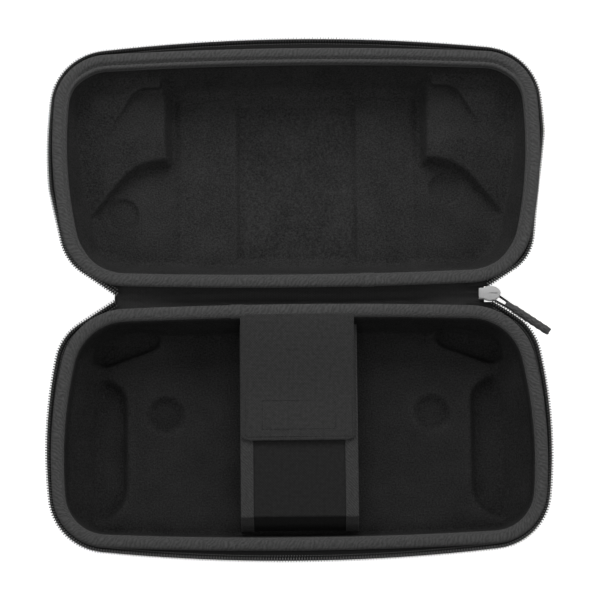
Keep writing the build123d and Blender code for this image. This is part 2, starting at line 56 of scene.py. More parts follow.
def pick(*objs):
    if bpy.context.object and bpy.context.object.mode != "OBJECT":
        bpy.ops.object.mode_set(mode="OBJECT")
    letGo()
    for obj in objs:
        obj.select_set(True)
    bpy.context.view_layer.objects.active = objs[-1]


def modify(obj, kind, **settings):
    pick(obj)
    mod = obj.modifiers.new(kind.lower(), kind)
    for key, value in settings.items():
        setattr(mod, key, value)
    bpy.ops.object.modifier_apply(modifier=mod.name)


def shape(obj, move):
    for vert in obj.data.vertices:
        vert.co = move(vert.co)
    obj.data.update()


def tidyNormals(obj, merge=0.000005):
    pick(obj)
    bpy.ops.object.mode_set(mode="EDIT")
    bpy.ops.mesh.select_all(action="SELECT")
    bpy.ops.mesh.remove_doubles(threshold=merge)
    bpy.ops.mesh.normals_make_consistent(inside=False)
    bpy.ops.object.mode_set(mode="OBJECT")


def uvInMetres(obj, along, across):
    for corner in obj.data.uv_layers.active.data:
        corner.uv = (corner.uv[0] * along, corner.uv[1] * across)


def dress(obj, name, material, body=None, angle=None):
    pick(obj)
    bpy.ops.object.transform_apply(location=True, rotation=True, scale=True)
    obj.name = name
    obj.data.name = name
    obj.data.materials.clear()
    obj.data.materials.append(material)
    if angle is None:
        bpy.ops.object.shade_smooth()
    else:
        bpy.ops.object.shade_smooth_by_angle(angle=math.radians(angle))
    if body:
        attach(obj, body)
    return obj


# Outlines as complex numbers, x along the hinge and y away from it

def arcThrough(a, b, c):
    w = (c - a) / (b - a)
    centre = (b - a) * (w - abs(w) ** 2) / (2j * w.imag) + a
    return centre, abs(a - centre)


def roundCentre(sideA, sideB, corner, radius):
    (ca, ra), (cb, rb) = sideA, sideB
    da, db, gap = ra - radius, rb - radius, cb - ca
    x = (da * da - db * db + abs(gap) ** 2) / (2 * abs(gap))
    y = math.sqrt(da * da - x * x)
    spots = [ca + gap / abs(gap) * complex(x, s * y) for s in (1, -1)]
    return min(spots, key=lambda spot: abs(spot - corner))


def runArc(centre, a, b, step):
    turn = cmath.phase((b - centre) / (a - centre))
    count = max(2, int(abs(turn) * abs(a - centre) / step))
    return [centre + (a - centre) * cmath.exp(1j * turn * k / count) for k in range(count)]


def roundedOutline(corners, middles, radii, step=0.4 * mm):
    count = len(corners)
    sides = [arcThrough(corners[k - 1], middles[k], corners[k]) for k in range(count)]
    touch = {}
    rounds = {}
    for k in range(count):
        after = (k + 1) % count
        if radii[k]:
            rounds[k] = roundCentre(sides[k], sides[after], corners[k], radii[k])
        for side in (k, after):
            centre, radius = sides[side]
            spot = rounds.get(k, corners[k])
            touch[k, side] = centre + (spot - centre) / abs(spot - centre) * radius
    path = []
    for k in range(count):
        path += runArc(sides[k][0], touch[(k - 1) % count, k], touch[k, k], step)
        if k in rounds:
            path += runArc(rounds[k], touch[k, k], touch[k, (k + 1) % count], step)
    return path


def evenly(path, spacing, closed):
    points = path + path[:1] if closed else path
    runs = [0]
    for a, b in zip(points, points[1:]):
        runs.append(runs[-1] + abs(b - a))
    count = max(2, round(runs[-1] / spacing))
    result, k = [], 0
    for n in range(count if closed else count + 1):
        goal = runs[-1] * n / count
        while k < len(runs) - 2 and runs[k + 1] < goal:
            k += 1
        part = (goal - runs[k]) / max(runs[k + 1] - runs[k], 1e-12)
        result.append(points[k] + (points[k + 1] - points[k]) * min(part, 1))
    return result


def easeIn(value, start, end):
    k = min(1.0, max(0.0, (value - start) / (end - start)))
    return k * k * (3 - 2 * k)


def outward(path, k, closed):
    # left of the way the path runs, which is clockwise seen from above
    before = path[k - 1] if closed or k else path[0]
    after = path[(k + 1) % len(path)] if closed or k + 1 < len(path) else path[-1]
    way = after - before
    return 1j * way / abs(way)


def shifted(path, distance, closed=True):
    return [p + outward(path, k, closed) * distance for k, p in enumerate(path)]


def mirrored(path):
    return [p.conjugate() for p in reversed(path)]


def pathLength(path, closed):
    points = path + path[:1] if closed else path
    return sum(abs(b - a) for a, b in zip(points, points[1:]))


def lineCurve(name, points, closed, dimensions="2D"):
    data = bpy.data.curves.new(name, "CURVE")
    data.dimensions = dimensions
    data.fill_mode = "NONE" if dimensions == "2D" else "FULL"
    spline = data.splines.new("POLY")
    spline.points.add(len(points) - 1)
    for spot, p in zip(spline.points, points):
        co = (p.real, p.imag, 0) if isinstance(p, complex) else p
        spot.co = (*co, 1)
    spline.use_cyclic_u = closed
    curve = bpy.data.objects.new(name, data)
    scene.collection.objects.link(curve)
    return curve


def sweep(name, path, profile, closed=True, capped=False):
    # the profile is (distance outwards, height) in metres
    line = lineCurve(name, path, closed)
    section = lineCurve(name + "Section", [complex(-d, z) for d, z in profile], True)
    line.data.bevel_mode = "OBJECT"
    line.data.bevel_object = section
    line.data.use_fill_caps = capped
    pick(line)
    bpy.ops.object.convert(target="MESH")
    swept = bpy.context.object
    bpy.data.objects.remove(section)
    around = sum(abs(complex(*b) - complex(*a)) for a, b in zip(profile, profile[1:] + profile[:1]))
    uvInMetres(swept, pathLength(path, closed), around)
    return swept


def bentWire(name, points, radius, resolution):
    line = lineCurve(name, points, False, "3D")
    line.data.bevel_depth = radius
    line.data.bevel_resolution = resolution
    line.data.use_fill_caps = True
    pick(line)
    bpy.ops.object.convert(target="MESH")
    wire = bpy.context.object
    tidyNormals(wire)
    return wire


def alongCurve(obj, path, closed, pitch):
    # repeats a small shape made at the origin along a path, its X along the path and its Y outwards
    line = lineCurve(obj.name + "Line", path, closed)
    modify(obj, "ARRAY", fit_type="FIT_CURVE", curve=line, use_relative_offset=False,
           use_constant_offset=True, constant_offset_displace=(pitch, 0, 0))
    modify(obj, "CURVE", object=line, deform_axis="POS_X")
    bpy.data.objects.remove(line)
    return obj


rimSize = dict(
    hingeReach=6.4, hingeBow=3.0, hingeHalf=137.0, frontReach=158.5, frontBow=4.5,
    frontHalf=147.0, sideBow=9.5, hingeRadius=40.0, frontRadius=33.0,
)
zipSize = dict(
    startX=112.6, slope=33.0, hingeHalf=147.8, frontHalf=150.0, sideBow=8.0,
    frontReach=167.0, frontBow=10.0, hingeRadius=34.0, frontRadius=38.0, easeFrom=45.0, easeTo=10.0,
)


def rimOutline():
    s = {key: value * mm for key, value in rimSize.items()}
    hinge, front = s["hingeReach"] + s["hingeBow"], s["frontReach"] - s["frontBow"]
    side = complex((s["hingeHalf"] + s["frontHalf"]) / 2 + s["sideBow"], -(hinge + front) / 2)
    corners = [complex(s["hingeHalf"], -hinge), complex(s["frontHalf"], -front),
               complex(-s["frontHalf"], -front), complex(-s["hingeHalf"], -hinge)]
    middles = [complex(0, -s["hingeReach"]), side, complex(0, -s["frontReach"]), -side.conjugate()]
    radii = [s["hingeRadius"], s["frontRadius"], s["frontRadius"], s["hingeRadius"]]
    return roundedOutline(corners, middles, radii)


def zipOutline():
    s = {key: value * mm for key, value in zipSize.items() if key != "slope"}
    slope = math.tan(math.radians(zipSize["slope"]))
    hinge = (s["hingeHalf"] - s["startX"]) * slope
    front = s["frontReach"] - s["frontBow"]
    side = complex((s["hingeHalf"] + s["frontHalf"]) / 2 + s["sideBow"], -(hinge + front) / 2)
    gable = complex(0, s["startX"] * slope)
    right, left = complex(s["hingeHalf"], -hinge), complex(-s["hingeHalf"], -hinge)
    corners = [gable, right, complex(s["frontHalf"], -front), complex(-s["frontHalf"], -front), left]
    ease = 0.02 * mm   # the two runs to the gable are all but straight
    middles = [(left + gable) / 2 + 1j * ease, (gable + right) / 2 + 1j * ease, side,
               complex(0, -s["frontReach"]), -side.conjugate()]
    radii = [0, s["hingeRadius"], s["frontRadius"], s["frontRadius"], s["hingeRadius"]]
    return roundedOutline(corners, middles, radii)


baseRim = evenly(rimOutline(), 2.0 * mm, True)
lidRim = mirrored(baseRim)


def zipRun(inset, rightGap, leftGap, ease=0.0, tuck=((0, 0, 1), (0, 0, 1))):
    # open run of the coil, from the slider end round the front to the plain end; ease draws it to the slider,
    # and tuck draws it in past the hinge corners, right and left
    ring = shifted(evenly(zipOutline(), 1.0 * mm, True), -inset)
    top = max(range(len(ring)), key=lambda k: ring[k].imag)
    run = []
    for p in ring[top:] + ring[:top]:
        if p.real > 0:
            p += 1j * ease * easeIn(p.imag, -zipSize["easeFrom"] * mm, -zipSize["easeTo"] * mm)
        side, (depth, start, reach) = (1, tuck[0]) if p.real > 0 else (-1, tuck[1])
        part = min(1.0, max(0.0, (-p.imag - start) / (reach - start)))
        run.append(p - side * depth * math.sin(math.pi * part))
    return [p for p in run if p.imag < -(rightGap if p.real > 0 else leftGap)]


print("outlines: rim", round(pathLength(baseRim, True) / mm), "mm round")


# Camera, light and floor

view = dict(aim=(0, 0, 0.040), elevation=78.0, distance=2.2, lens=212.5, roll=-0.6, shift=(0.0038, -0.0083))

bpy.ops.object.camera_add()
camera = bpy.context.object
camera.name = "camera"
back = Vector((0, -math.cos(math.radians(view["elevation"])), math.sin(math.radians(view["elevation"]))))
turned = (-back).to_track_quat("-Z", "Y").to_matrix() @ Matrix.Rotation(math.radians(view["roll"]), 3, "Z")
camera.location = Vector(view["aim"]) + back * view["distance"]
camera.rotation_euler = turned.to_euler()
camera.data.lens = view["lens"]
camera.data.sensor_width = 36
camera.data.shift_x, camera.data.shift_y = view["shift"]
camera.data.clip_start, camera.data.clip_end = 0.1, 20
scene.camera = camera
scene.view_settings.view_transform = "Standard"

light = dict(
    aim=(0, 0, 0.03),
    boxes=dict(
        backLight=dict(at=(0, 0.90, 0.70), size=(1.0, 0.6), power=9.0),
        leftLight=dict(at=(-0.90, 0.10, 0.66), size=(0.8, 0.6), power=2.7),
        rightLight=dict(at=(0.90, 0.10, 0.66), size=(0.8, 0.6), power=2.7),
        frontLight=dict(at=(0, -0.52, 0.92), size=(1.0, 0.4), power=2.8),
    ),
    world=0.06,
)


def softbox(name, at, size, power):
    bpy.ops.object.light_add(type="AREA", location=at)
    lamp = bpy.context.object
    lamp.name = name
    lamp.data.shape = "RECTANGLE"
    lamp.data.size, lamp.data.size_y = size
    lamp.data.energy = power
    lamp.rotation_euler = (Vector(light["aim"]) - Vector(at)).to_track_quat("-Z", "Y").to_euler()


for name, box in light["boxes"].items():
    softbox(name, **box)

world = bpy.data.worlds.new("studio")
scene.world = world
world.use_nodes = True
skyNodes, skyLinks = world.node_tree.nodes, world.node_tree.links
sky = skyNodes["Background"]
sky.inputs["Color"].default_value = (1, 1, 1, 1)
rays = skyNodes.new("ShaderNodeLightPath")
seen = skyNodes.new("ShaderNodeMath")
seen.operation = "MAXIMUM"
skyLinks.new(rays.outputs["Is Camera Ray"], seen.inputs[0])
skyLinks.new(rays.outputs["Is Transmission Ray"], seen.inputs[1])
strength = skyNodes.new("ShaderNodeMapRange")
strength.inputs["To Min"].default_value = light["world"]
strength.inputs["To Max"].default_value = 1.0
skyLinks.new(seen.outputs[0], strength.inputs["Value"])
skyLinks.new(strength.outputs["Result"], sky.inputs["Strength"])

ground = dict(size=8, drop=0.2 * mm, shade=(0.86, 0.86, 0.86, 1), glow=0.85)

letGo()
bpy.ops.mesh.primitive_plane_add(size=ground["size"], location=(0, 0, -ground["drop"]))
floor = bpy.context.object
floor.name = "floor"
floorMat = bpy.data.materials.new("paleFloor")
floorMat.use_nodes = True
floorTree = floorMat.node_tree
floorShader = floorTree.nodes["Principled BSDF"]
floorShader.inputs["Base Color"].default_value = ground["shade"]
floorShader.inputs["Roughness"].default_value = 0.9
floorShader.inputs["Specular IOR Level"].default_value = 0.0
floorRays = floorTree.nodes.new("ShaderNodeLightPath")
floorSeen = floorTree.nodes.new("ShaderNodeMath")
floorSeen.operation = "MAXIMUM"
floorTree.links.new(floorRays.outputs["Is Camera Ray"], floorSeen.inputs[0])
floorTree.links.new(floorRays.outputs["Is Glossy Ray"], floorSeen.inputs[1])
floorGlow = floorTree.nodes.new("ShaderNodeMath")
floorGlow.operation = "MULTIPLY"
floorGlow.inputs[1].default_value = ground["glow"]
floorTree.links.new(floorSeen.outputs[0], floorGlow.inputs[0])
floorShader.inputs["Emission Color"].default_value = (1, 1, 1, 1)
floorTree.links.new(floorGlow.outputs[0], floorShader.inputs["Emission Strength"])
floor.data.materials.append(floorMat)
print("camera, lights and floor set")


# Shader groups that several cloths share

def newGroup(name, inputs, outputs):
    group = bpy.data.node_groups.new(name, "ShaderNodeTree")
    for label, kind, value in inputs:
        socket = group.interface.new_socket(name=label, in_out="INPUT", socket_type=kind)
        if value is not None:
            socket.default_value = value
    for label in outputs:
        group.interface.new_socket(name=label, in_out="OUTPUT", socket_type="NodeSocketFloat")
    return group, group.nodes.new("NodeGroupInput"), group.nodes.new("NodeGroupOutput")


def sums(tree, operation, a, b=None, c=None):
    node = tree.nodes.new("ShaderNodeMath")
    node.operation = operation
    for k, value in enumerate((a, b, c)):
        if value is None:
            continue
        if isinstance(value, (int, float)):
            node.inputs[k].default_value = value
        else:
            tree.links.new(value, node.inputs[k])
    return node.outputs[0]


def grain(tree, vector, scale, detail=2.0, roughness=0.5):
    node = tree.nodes.new("ShaderNodeTexNoise")
    node.inputs["Detail"].default_value = detail
    node.inputs["Roughness"].default_value = roughness
    tree.links.new(vector, node.inputs["Vector"])
    if isinstance(scale, (int, float)):
        node.inputs["Scale"].default_value = scale
    else:
        tree.links.new(scale, node.inputs["Scale"])
    return node.outputs["Fac"]


def buildNap():
    # short brushed fibres: fine specks, soft blotches and a fuzzy height
    group, given, made = newGroup("nap", [
        ("Vector", "NodeSocketVector", None),
        ("Fibre Scale", "NodeSocketFloat", 1500.0),
        ("Blotch Scale", "NodeSocketFloat", 60.0),
        ("Blotch", "NodeSocketFloat", 0.35),
    ], ["Shade", "Height"])
    fine = grain(group, given.outputs["Vector"], given.outputs["Fibre Scale"], 3.0, 0.65)
    broad = grain(group, given.outputs["Vector"], given.outputs["Blotch Scale"], 3.0, 0.6)
    group.links.new(fine, made.inputs["Height"])
    lifted = sums(group, "MULTIPLY", sums(group, "SUBTRACT", broad, 0.5), given.outputs["Blotch"])
    spread = sums(group, "MULTIPLY_ADD", sums(group, "SUBTRACT", fine, 0.5), 1.5, 0.5)
    group.links.new(sums(group, "ADD", spread, lifted), made.inputs["Shade"])
    return group


def buildWeave():
    # plain weave: threads go over and under each other at one pitch both ways
    group, given, made = newGroup("weave", [
        ("Vector", "NodeSocketVector", None),
        ("Pitch", "NodeSocketFloat", 0.0009),
        ("Unevenness", "NodeSocketFloat", 0.4),
    ], ["Shade", "Height"])
    split = group.nodes.new("ShaderNodeSeparateXYZ")
    group.links.new(given.outputs["Vector"], split.inputs[0])
    turns = [sums(group, "MULTIPLY", sums(group, "DIVIDE", split.outputs[k], given.outputs["Pitch"]), math.pi)
             for k in (0, 1)]
    waves = [sums(group, "SINE", turn) for turn in turns]
    over = sums(group, "MULTIPLY_ADD", sums(group, "MULTIPLY", waves[0], waves[1]), 0.5, 0.5)
    threads = sums(group, "MULTIPLY", sums(group, "ABSOLUTE", waves[0]), sums(group, "ABSOLUTE", waves[1]))
    height = sums(group, "MULTIPLY_ADD", threads, 0.6, sums(group, "MULTIPLY", over, 0.4))
    group.links.new(height, made.inputs["Height"])
    uneven = sums(group, "SUBTRACT", grain(group, given.outputs["Vector"], 420.0, 4.0, 0.7), 0.5)
    shade = sums(group, "MULTIPLY_ADD", uneven, given.outputs["Unevenness"], sums(group, "MULTIPLY", height, 0.8))
    group.links.new(shade, made.inputs["Shade"])
    return group


def buildRibs():
    # ribbed tape: uneven ribs set over by the slant, with a finer rib the other way
    group, given, made = newGroup("ribs", [
        ("Vector", "NodeSocketVector", None),
        ("Pitch", "NodeSocketFloat", 0.0028),
        ("Slant", "NodeSocketFloat", 0.3),
        ("Unevenness", "NodeSocketFloat", 0.9),
    ], ["Shade", "Height"])
    split = group.nodes.new("ShaderNodeSeparateXYZ")
    group.links.new(given.outputs["Vector"], split.inputs[0])
    wander = sums(group, "SUBTRACT", grain(group, given.outputs["Vector"], 170.0, 2.0), 0.5)
    along = sums(group, "MULTIPLY_ADD", split.outputs[1], given.outputs["Slant"], split.outputs[0])
    turns = sums(group, "MULTIPLY_ADD", wander, 3.0, sums(group, "DIVIDE", along, given.outputs["Pitch"]))
    broad = sums(group, "SINE", sums(group, "MULTIPLY", turns, 2 * math.pi))
    back = sums(group, "MULTIPLY_ADD", split.outputs[1], -0.6, split.outputs[0])
    backTurns = sums(group, "DIVIDE", back, given.outputs["Pitch"])
    fine = sums(group, "SINE", sums(group, "MULTIPLY", backTurns, 6.2 * math.pi))
    height = sums(group, "MULTIPLY_ADD", fine, 0.15, sums(group, "MULTIPLY_ADD", broad, 0.35, 0.5))
    group.links.new(height, made.inputs["Height"])
    uneven = sums(group, "SUBTRACT", grain(group, given.outputs["Vector"], 420.0, 4.0, 0.7), 0.5)
    rib = sums(group, "MULTIPLY_ADD", height, 0.35, 0.32)
    group.links.new(sums(group, "MULTIPLY_ADD", uneven, given.outputs["Unevenness"], rib), made.inputs["Shade"])
    return group


napGroup, weaveGroup, ribGroup = buildNap(), buildWeave(), buildRibs()


def clothMaterial(name, group, where, dark, bright, bump, depth, rough=0.9, sheen=0.0, specular=0.3, paintedShadeRise=0.0,
                  **values):
    # this gain, per millimetre, lifts the shade by the piece's own height attribute: painted light on crests and
    # painted shade in hollows and creases
    mat = bpy.data.materials.new(name)
    mat.use_nodes = True
    tree = mat.node_tree
    shader = tree.nodes["Principled BSDF"]
    shader.inputs["Roughness"].default_value = rough
    shader.inputs["Specular IOR Level"].default_value = specular
    shader.inputs["Sheen Weight"].default_value = sheen
    shader.inputs["Sheen Roughness"].default_value = 0.4
    place = tree.nodes.new("ShaderNodeTexCoord")
    pattern = tree.nodes.new("ShaderNodeGroup")
    pattern.node_tree = group
    tree.links.new(place.outputs[where], pattern.inputs["Vector"])
    for key, value in values.items():
        pattern.inputs[key].default_value = value
    ramp = tree.nodes.new("ShaderNodeValToRGB")
    ramp.color_ramp.elements[0].color = (dark, dark, dark, 1)
    ramp.color_ramp.elements[1].color = (bright, bright, bright, 1)
    shade = pattern.outputs["Shade"]
    # painted light and shade from the height above the smoothed form
    if paintedShadeRise:
        form = tree.nodes.new("ShaderNodeAttribute")
        form.attribute_name = "paintedShadeRise"
        shade = sums(tree, "MULTIPLY_ADD", form.outputs["Fac"], paintedShadeRise, shade)
    tree.links.new(shade, ramp.inputs["Fac"])
    tree.links.new(ramp.outputs["Color"], shader.inputs["Base Color"])
    relief = tree.nodes.new("ShaderNodeBump")
    relief.inputs["Strength"].default_value = bump
    relief.inputs["Distance"].default_value = depth
    tree.links.new(pattern.outputs["Height"], relief.inputs["Height"])
    tree.links.new(relief.outputs["Normal"], shader.inputs["Normal"])
    return mat


# one lining cloth for both halves: the base's copy is painted darker than the lid's as painted shade, and both take
# painted light and shade from the height attribute
liningMats = {
    half: clothMaterial(half + "NappedLining", napGroup, "Object", 0.001, bright, 0.7, 0.0007,
                        rough=0.95, specular=0.1, paintedShadeRise=0.10,
                        **{"Fibre Scale": 1000.0, "Blotch Scale": 45.0, "Blotch": 0.4})
    for half, bright in (("lid", 0.055), ("base", 0.040))
}
shellMat = clothMaterial("shellCloth", napGroup, "Object", 0.012, 0.052, 0.35, 0.0002, rough=0.7,
                         **{"Fibre Scale": 1400.0})
bindingMat = clothMaterial("ribbedBinding", ribGroup, "UV", 0.016, 0.100, 0.6, 0.0004, rough=0.8, sheen=0.1,
                           **{"Pitch": 0.0026, "Slant": 0.55})
edgeMat = clothMaterial("twillEdge", ribGroup, "UV", 0.010, 0.072, 0.6, 0.0003, rough=0.85, sheen=0.1,
                        **{"Pitch": 0.0018, "Slant": 0.9})
tapeMat = clothMaterial("zipTapeWeave", weaveGroup, "Object", 0.004, 0.016, 0.4, 0.0002, rough=0.9,
                        **{"Pitch": 0.0006})
flapMat = clothMaterial("flapWeave", weaveGroup, "UV", 0.012, 0.060, 0.4, 0.0002, rough=0.85, sheen=0.1,
                        **{"Pitch": 0.0008, "Unevenness": 0.9})
pouchMat = clothMaterial("pouchWeave", weaveGroup, "UV", 0.004, 0.028, 0.4, 0.0002, rough=0.9,
                         **{"Pitch": 0.0008, "Unevenness": 0.9})
hingeMat = clothMaterial("hingeWeave", weaveGroup, "UV", 0.008, 0.030, 0.5, 0.0003, rough=0.9,
                         **{"Pitch": 0.0010, "Unevenness": 0.9})
pileMat = clothMaterial("fastenerPile", napGroup, "Object", 0.004, 0.014, 0.8, 0.0004, **{"Fibre Scale": 2500.0})
threadMat = clothMaterial("sewingThread", napGroup, "Object", 0.010, 0.030, 0.5, 0.0001, rough=0.7,
                          **{"Fibre Scale": 4000.0})
coilMat = clothMaterial("coilNylon", napGroup, "Object", 0.085, 0.140, 0.05, 0.0001, rough=0.35, specular=0.5,
                        **{"Fibre Scale": 500.0})
sliderMat = clothMaterial("satinMetal", napGroup, "Object", 0.40, 0.50, 0.06, 0.00005, rough=0.42, specular=0.5,
                          **{"Fibre Scale": 2200.0, "Blotch": 0.6})
pullMat = clothMaterial("pullRubber", napGroup, "Object", 0.002, 0.100, 0.6, 0.0006, rough=0.5, specular=0.5,
                        **{"Fibre Scale": 1500.0})
cordMat = clothMaterial("pullCord", ribGroup, "UV", 0.008, 0.028, 0.6, 0.0002, rough=0.8,
                        **{"Pitch": 0.0012, "Slant": 0.8})
print("materials made")


# Moulded linings: a copy of each tray, softened to the rounded forms of a pressed foam sheet

tray = dict(
    voxel=1.2 * mm, smooth=3, backing=1.5 * mm,
    soften=dict(base=24, lid=2), calm=dict(base=120, lid=25),
    dimples=dict(base=[(-83.0, -70.0), (83.0, -70.0)], lid=[(-110.7, 60.0), (94.3, 75.3)]), dimpleReach=16.0,
)


def mouldTray(name, node, body):
    lining = bpy.data.objects.new(name, nodes[node].data.copy())
    scene.collection.objects.link(lining)
    tidyNormals(lining)
    # the underside is sunk into the shell, so that the thin places keep a back
    under = min(vert.co.z for vert in lining.data.vertices) + 0.2 * mm
    shape(lining, lambda co: Vector((co.x, co.y, co.z - tray["backing"] if co.z < under else co.z)))
    modify(lining, "REMESH", mode="VOXEL", voxel_size=tray["voxel"])
    modify(lining, "SMOOTH", factor=0.5, iterations=tray["smooth"])
    # the hollows are softer than the dimples
    soft = lining.vertex_groups.new(name="soft")
    for vert in lining.data.vertices:
        away = min(math.hypot(vert.co.x / mm - x, vert.co.y / mm - y) for x, y in tray["dimples"][body])
        if away > tray["dimpleReach"]:
            soft.add([vert.index], 1.0, "ADD")
    modify(lining, "SMOOTH", factor=0.5, iterations=tray["soften"][body], vertex_group="soft")
    # painted light and shade: the lining is painted lighter where the form stands out of its surroundings and darker
    # where it dips, standing in for the shade that falls in hollows and creases
    calm = bpy.data.objects.new("calm", lining.data.copy())
    scene.collection.objects.link(calm)
    modify(calm, "SMOOTH", factor=0.5, iterations=tray["calm"][body])
    # height above the smoothed copy, in millimetres, which the lining material turns into painted light and shade
    paintedShadeRise = lining.data.attributes.new("paintedShadeRise", "FLOAT", "POINT")
    for vert, still, value in zip(lining.data.vertices, calm.data.vertices, paintedShadeRise.data):
        value.value = (vert.co.z - still.co.z) / mm
    bpy.data.objects.remove(calm)
    dress(lining, name, liningMats[body], body)
    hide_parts(node)
    print(name, len(lining.data.polygons), "faces")


mouldTray("baseLining", "base_tray", "base")
mouldTray("lidLining", "lid_tray", "lid")

for node in ("base_shell", "lid_shell"):
    nodes[node].data.materials.clear()
    nodes[node].data.materials.append(shellMat)


# Rim binding: one section swept round the rim, then changed from side to side, with stitches and a lapped end

binding = dict(
    grooved=[(1.0, 37.3), (1.05, 38.3), (0.85, 39.2), (0.2, 39.75), (-0.9, 40.0), (-2.4, 40.05), (-3.6, 39.95),
             (-4.4, 39.65), (-5.0, 39.1), (-5.4, 38.7), (-5.9, 38.55), (-6.4, 38.7), (-6.9, 39.1), (-7.6, 39.3),
             (-8.3, 39.1), (-8.9, 38.5), (-9.1, 37.4), (-9.1, 35.8), (-9.0, 34.0), (-8.05, 34.0), (-8.05, 36.2),
             (-8.05, 38.2), (-4.0, 38.2), (0.05, 38.2), (0.05, 37.3)],
    shallow=[(1.0, 37.3), (1.05, 38.3), (0.85, 39.2), (0.2, 39.75), (-0.9, 40.0), (-2.4, 40.05), (-3.6, 40.0),
             (-4.6, 39.85), (-5.3, 39.55), (-5.65, 39.3), (-5.95, 39.2), (-6.25, 39.3), (-6.6, 39.5), (-7.1, 39.5),
             (-7.6, 39.25), (-8.0, 38.6), (-8.1, 37.4), (-8.1, 35.8), (-8.06, 34.0), (-8.05, 34.0), (-8.05, 36.2),
             (-8.05, 38.2), (-4.0, 38.2), (0.05, 38.2), (0.05, 37.3)],
    plain=[(1.0, 37.3), (1.05, 38.2), (0.9, 38.9), (0.3, 39.45), (-0.8, 39.85), (-2.2, 40.05), (-3.4, 40.05),
           (-4.5, 39.9), (-5.1, 39.75), (-5.5, 39.6), (-5.8, 39.48), (-6.1, 39.35), (-6.4, 39.15), (-6.7, 38.9),
           (-6.9, 38.65), (-7.0, 38.4), (-7.05, 37.4), (-7.05, 35.8), (-7.0, 34.0), (-6.5, 34.0), (-6.5, 36.2),
           (-6.5, 38.2), (-4.0, 38.2), (0.05, 38.2), (0.05, 37.3)],
    grooveAt=-5.9, stitchPitch=3.0, stitchLong=2.2, stitchWide=0.55, stitchHeight=38.75,
    lapLong=9.0, lapOver=0.3, lapTop=40.11, lapLid=39.0, lapBase=-42.0, hingeSide=15.0,
)


def changeSection(band, path, first, second, share):
    # moves each ring of a swept band from one section towards another by that ring's share
    for k, vert in enumerate(band.data.vertices):
        ring, spot = divmod(k, len(first))
        way = outward(path, ring, True)
        part = share(way) * mm
        (d1, z1), (d2, z2) = first[spot], second[spot]
        vert.co += Vector((way.real * (d2 - d1) * part, way.imag * (d2 - d1) * part, (z2 - z1) * part))
    band.data.update()


def hingeWallY(x):
    # where the hinge wall stands at this x
    near = min((p for p in baseRim if p.imag > -40 * mm), key=lambda p: abs(p.real - x))
    return -near.imag


def oneStitch(name, length, width):
    letGo()
    bpy.ops.mesh.primitive_uv_sphere_add(segments=8, ring_count=5, radius=0.5)
    stitch = bpy.context.object
    stitch.name = name
    stitch.rotation_euler = (0, math.pi / 2, 0)
    pick(stitch)
    bpy.ops.object.transform_apply(rotation=True)
    stitch.scale = (length, width, width * 0.7)
    bpy.ops.object.transform_apply(scale=True)
    return stitch


def stitchRow(name, path, closed, height, pitch, length, width, body, material=None):
    stitch = oneStitch(name, length, width)
    stitch.location = (pitch / 2, 0, height)
    pick(stitch)
    bpy.ops.object.transform_apply(location=True)
    alongCurve(stitch, path, closed, pitch)
    return dress(stitch, name, material or threadMat, body)


def bindRim(half, rim, lapX):
    # the groove is deep at the front of the lid, shallow at its sides, and missing at the hinge and on the base
    kind = "shallow" if half == "lid" else "plain"
    section = [(d * mm, z * mm) for d, z in binding[kind]]
    band = sweep(half + "Binding", rim, section)
    if half == "lid":
        changeSection(band, rim, binding["shallow"], binding["grooved"], lambda way: easeIn(way.imag, 0.5, 0.9))
        changeSection(band, rim, binding["shallow"], binding["plain"], lambda way: easeIn(-way.imag, 0.5, 0.9))
        row = shifted(rim, binding["grooveAt"] * mm)
        stitchRow(half + "BindingStitches", row, True, binding["stitchHeight"] * mm, binding["stitchPitch"] * mm,
                  binding["stitchLong"] * mm, binding["stitchWide"] * mm, half)
    tidyNormals(band)
    dress(band, half + "Binding", bindingMat, half)
    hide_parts(half + "_binding")

    over = binding["lapOver"] * mm
    section = [(d * mm, z * mm) for d, z in binding["plain"]]
    middle = complex(sum(d for d, z in section) / len(section), sum(z for d, z in section) / len(section))
    fat = []
    for d, z in section:
        away = complex(d, z) - middle
        spot = complex(d, z) + away / abs(away) * over
        # the lap stays under the plane where the two rims meet when the case is shut
        fat.append((spot.real, min(max(spot.imag, z - over), binding["lapTop"] * mm)))
    near = [p for p in evenly(rim, 0.5 * mm, True)
            if abs(p.imag) < binding["hingeSide"] * mm and 0 <= (p.real - lapX * mm) <= binding["lapLong"] * mm]
    near.sort(key=lambda p: p.real)
    if rim is lidRim:
        near.reverse()
    lap = sweep(half + "BindingLap", near, fat, closed=False, capped=True)
    tidyNormals(lap)
    dress(lap, half + "BindingLap", bindingMat, half, angle=50)


bindRim("base", baseRim, binding["lapBase"])
bindRim("lid", lidRim, binding["lapLid"])
print("binding sewn")


# Zip: woven tape, core cord and one coil turn repeated along the run

zipper = dict(
    width=3.2, low=36.95, high=39.4, wire=0.33, head=1.15, pitch=1.69, core=0.5, coreIn=1.9, coreRise=1.25,
    tapeIn=1.3, tapeThick=0.6, tapeRim=37.25, tapeCoil=37.0, tapeEnd=105,
    rowIn=4.3, rowLong=1.0, rowWide=0.5, rowHeight=37.3, rowShort=3,
    coilGap=5.0, besideSlider=4.95, plainGap=1.7, baseEase=2.2,
    tuckRight=3.6, tuckRightFrom=17, tuckRightTo=104, tuckLeft=2.5, tuckLeftFrom=0, tuckLeftTo=70,
)


